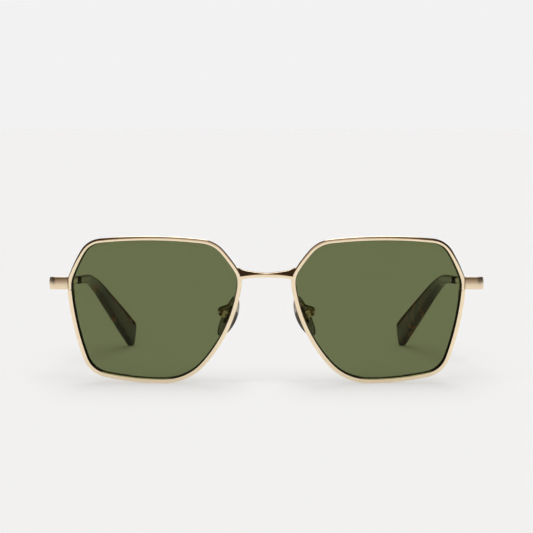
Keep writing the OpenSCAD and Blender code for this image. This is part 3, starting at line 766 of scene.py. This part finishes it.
def make_pad(word, side):
    """Soft oval pad: a domed face, a round edge and a flatter back."""
    face_x, back_x = -(PAD_BACK + PAD_T), -PAD_BACK
    rings = [pad_ring(PAD_EDGE_FROM * k / FACE_RINGS, lambda sag: face_x + sag)
             for k in range(1, FACE_RINGS + 1)]
    for k in range(1, EDGE_RINGS + 1):
        a = pi / 2 * k / EDGE_RINGS
        drop = PAD_EDGE * (1 - cos(a))
        rings.append(pad_ring(PAD_EDGE_FROM + (1 - PAD_EDGE_FROM) * sin(a),
                              lambda sag: min(face_x + sag + drop, back_x - PAD_BACK_ROUND)))
    for k in range(1, BACK_RINGS + 1):
        a = pi / 2 * k / BACK_RINGS
        rings.append(pad_ring(1 - PAD_BACK_IN * (1 - cos(a)),
                              lambda sag: back_x - PAD_BACK_ROUND * (1 - sin(a))))
    rings += [pad_ring(share, lambda sag: back_x) for share in PAD_BACK_SHARES]
    points, faces = skin(rings)
    add_piece(f"pad_silicone_{word}", f"pad_{word}", points, faces, SHADE_TINTED_SILICONE,
              [f"nose_pad_{word}"], side, sharp=60)


# ---- Small pieces that keep the CAD's mesh -----------------------------------------------------------
def make_pad_arm(word):
    """The CAD's own wire with smooth shading."""
    source = frame["nodes"][f"pad_arm_{word}"]
    mesh = source.data.copy()
    mesh.name = f"pad_wire_{word}"
    mesh.materials.clear()
    mesh.materials.append(PAD_GOLD)
    obj = bpy.data.objects.new(mesh.name, mesh)
    bpy.context.scene.collection.objects.link(obj)
    bm = bmesh.new()
    bm.from_mesh(mesh)
    bmesh.ops.remove_doubles(bm, verts=bm.verts, dist=WELD)
    for f in bm.faces:
        f.smooth = True
    bm.to_mesh(mesh)
    bm.free()
    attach(obj, "front")
    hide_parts(f"pad_arm_{word}")


def dress_cad_nodes():
    """Small CAD pieces whose shape is right keep their mesh and get a finished material."""
    slots = {s["node"]: s["material_slot"] for s in frame["record"]["subparts"]}
    for name, node in frame["nodes"].items():
        look = CAD_LOOKS.get(slots.get(name))
        if look is not None:
            node.data.materials.clear()
            node.data.materials.append(look)


# ---- Studio ------------------------------------------------------------------------------------------
BACKDROP = 0.889
FLOOR_GLOW, FLOOR_ALBEDO, FLOOR_REACH = 0.335, 0.60, 60.0
# The softbox: its start and end, in degrees from the horizon behind up and over, and its half width.
BOX_FROM, BOX_TO, BOX_SOFT, BOX_SIDE, SIDE_SOFT = 30, 98, 6, 14, 4
# Radiances of the softbox, low down to the front and back, and everywhere else above the floor.
BOX_LIGHT, AXIS_LIGHT, DARK_LIGHT = 3.0, 0.5, 0.035
# How far off straight ahead or straight behind, as a sine, the low light starts to fade and is gone.
AXIS_INNER, AXIS_OUTER = 0.15, 0.55
# Rays that leave a lens or pad this close to straight ahead see the backdrop.
AHEAD_INNER, AHEAD_OUTER = 0.3, 0.5
# The dark is warm, and the light is plain from this radiance up.
WARM_DARK, PLAIN_LIGHT = (1.0, 0.62, 0.38, 1), 0.8
# The fill from above the front: strength, degrees up and degrees wide.
FILL_LIGHT, FILL_ELEVATION, FILL_SPREAD = 1.7, 62, 70
# The camera: how far in front of the front's feet, how high, how many degrees down it looks, its lens.
FEET_AHEAD = 0.0082
CAMERA_BACK, CAMERA_UP, CAMERA_DOWN = 0.800, 0.0827, 3.21
FOCAL, SENSOR = 167.9, 36.0
CLIP_NEAR, CLIP_FAR = 0.01, 300.0


def make_floor():
    """Plain pale floor that runs out of sight and glows a little, so that it matches the backdrop."""
    mesh = bpy.data.meshes.new("studio_floor")
    r = FLOOR_REACH
    mesh.from_pydata([(-r, -r, 0), (r, -r, 0), (r, r, 0), (-r, r, 0)], [], [(0, 1, 2, 3)])
    m = Nodes("studio_floor")
    m.set(Base_Color=(*(FLOOR_ALBEDO,) * 3, 1), Roughness=0.9, Specular_IOR_Level=0.0,
          Emission_Color=(1, 1, 1, 1), Emission_Strength=FLOOR_GLOW)
    mesh.materials.append(m.material)
    floor = bpy.data.objects.new("studio_floor", mesh)
    bpy.context.scene.collection.objects.link(floor)


class Sky:
    """Short way to write the world's radiance as a function of direction."""

    def __init__(self, tree):
        self.tree = tree
        coords = tree.nodes.new("ShaderNodeTexCoord")
        split = tree.nodes.new("ShaderNodeSeparateXYZ")
        tree.links.new(coords.outputs["Generated"], split.inputs[0])
        self.x, self.y, self.z = split.outputs
        self.aside = self.math("ABSOLUTE", self.x)

    def math(self, operation, *values):
        node = self.tree.nodes.new("ShaderNodeMath")
        node.operation = operation
        for socket, value in zip(node.inputs, values):
            if isinstance(value, (int, float)):
                socket.default_value = value
            else:
                self.tree.links.new(value, socket)
        return node.outputs[0]

    def ease(self, value, start, end, low=0.0, high=1.0):
        """low where value is at start, high where it is at end, eased between."""
        node = self.tree.nodes.new("ShaderNodeMapRange")
        node.interpolation_type = "SMOOTHSTEP"
        for name, v in (("From Min", start), ("From Max", end), ("To Min", low), ("To Max", high)):
            node.inputs[name].default_value = v
        self.tree.links.new(value, node.inputs["Value"])
        return node.outputs["Result"]

    def mix(self, share, a, b):
        """a where share is 0, b where it is 1."""
        return self.math("ADD", self.math("MULTIPLY", self.math("SUBTRACT", 1.0, share), a),
                         self.math("MULTIPLY", share, b))

    def background(self, strength):
        """Plain where strength is a number; otherwise the dimmer it is, the warmer."""
        node = self.tree.nodes.new("ShaderNodeBackground")
        if isinstance(strength, float):
            node.inputs["Strength"].default_value = strength
            node.inputs["Color"].default_value = (1, 1, 1, 1)
            return node.outputs[0]
        self.tree.links.new(strength, node.inputs["Strength"])
        tint = self.tree.nodes.new("ShaderNodeMix")
        tint.data_type = "RGBA"
        self.tree.links.new(self.ease(strength, DARK_LIGHT, PLAIN_LIGHT), tint.inputs["Factor"])
        tint.inputs["A"].default_value = WARM_DARK
        tint.inputs["B"].default_value = (1, 1, 1, 1)
        self.tree.links.new(tint.outputs["Result"], node.inputs["Color"])
        return node.outputs[0]


def make_world():
    """A long softbox from behind to overhead, a dim front, dark sides and a plain backdrop."""
    world = bpy.data.worlds.new("studio")
    bpy.context.scene.world = world
    world.use_nodes = True
    tree = world.node_tree
    tree.nodes.clear()
    sky = Sky(tree)
    turn = sky.math("ARCTAN2", sky.z, sky.y)
    begin = sky.ease(turn, radians(BOX_FROM - BOX_SOFT), radians(BOX_FROM + BOX_SOFT))
    finish = sky.ease(turn, radians(BOX_TO + BOX_SOFT), radians(BOX_TO - BOX_SOFT))
    lengthways = sky.math("MULTIPLY", begin, finish)
    roll = sky.math("ARCTAN2", sky.aside, sky.z)
    sideways = sky.ease(roll, radians(BOX_SIDE + SIDE_SOFT), radians(BOX_SIDE - SIDE_SOFT))
    box = sky.math("MULTIPLY", lengthways, sideways)
    off_axis = sky.math("SQRT", sky.math("SUBTRACT", 1.0, sky.math("MULTIPLY", sky.y, sky.y)))
    around = sky.ease(off_axis, AXIS_INNER, AXIS_OUTER, AXIS_LIGHT, DARK_LIGHT)
    lit = sky.mix(box, around, BOX_LIGHT)
    path = tree.nodes.new("ShaderNodeLightPath")
    ahead = sky.ease(off_axis, AHEAD_OUTER, AHEAD_INNER)
    through = sky.math("MULTIPLY", path.outputs["Is Transmission Ray"], ahead)
    seen = sky.math("MAXIMUM", path.outputs["Is Camera Ray"], through)
    mix = tree.nodes.new("ShaderNodeMixShader")
    tree.links.new(seen, mix.inputs["Fac"])
    tree.links.new(sky.background(lit), mix.inputs[1])
    tree.links.new(sky.background(BACKDROP), mix.inputs[2])
    out = tree.nodes.new("ShaderNodeOutputWorld")
    tree.links.new(mix.outputs[0], out.inputs["Surface"])


def make_fill():
    """Soft light on the floor and the matt parts, which no metal mirrors."""
    data = bpy.data.lights.new("fill", "SUN")
    data.energy = FILL_LIGHT
    data.angle = radians(FILL_SPREAD)
    fill = bpy.data.objects.new("fill", data)
    fill.rotation_euler = (radians(90 - FILL_ELEVATION), 0, 0)
    fill.visible_glossy = False
    bpy.context.scene.collection.objects.link(fill)


def make_camera():
    """Low and far in front, looking slightly down at the bridge."""
    data = bpy.data.cameras.new("camera")
    data.lens = FOCAL
    data.sensor_width = SENSOR
    data.clip_start, data.clip_end = CLIP_NEAR, CLIP_FAR
    camera = bpy.data.objects.new("camera", data)
    camera.location = (0, HINGE_AT.y - FEET_AHEAD - CAMERA_BACK, CAMERA_UP)
    camera.rotation_euler = (radians(90 - CAMERA_DOWN), 0, 0)
    bpy.context.scene.collection.objects.link(camera)
    bpy.context.scene.camera = camera


# ---- The whole ---------------------------------------------------------------------------------------
bpy.context.scene.view_settings.view_transform = "Standard"
dress_cad_nodes()
make_bridge()
for word, side in SIDES.items():
    make_rim(word, side)
    make_lens(word, side)
    make_edge_shade(word, side)
    make_endpiece(word, side)
    make_arm(word, side)
    make_tip(word, side)
    make_pad(word, side)
    make_pad_arm(word)
make_floor()
make_world()
make_fill()
make_camera()
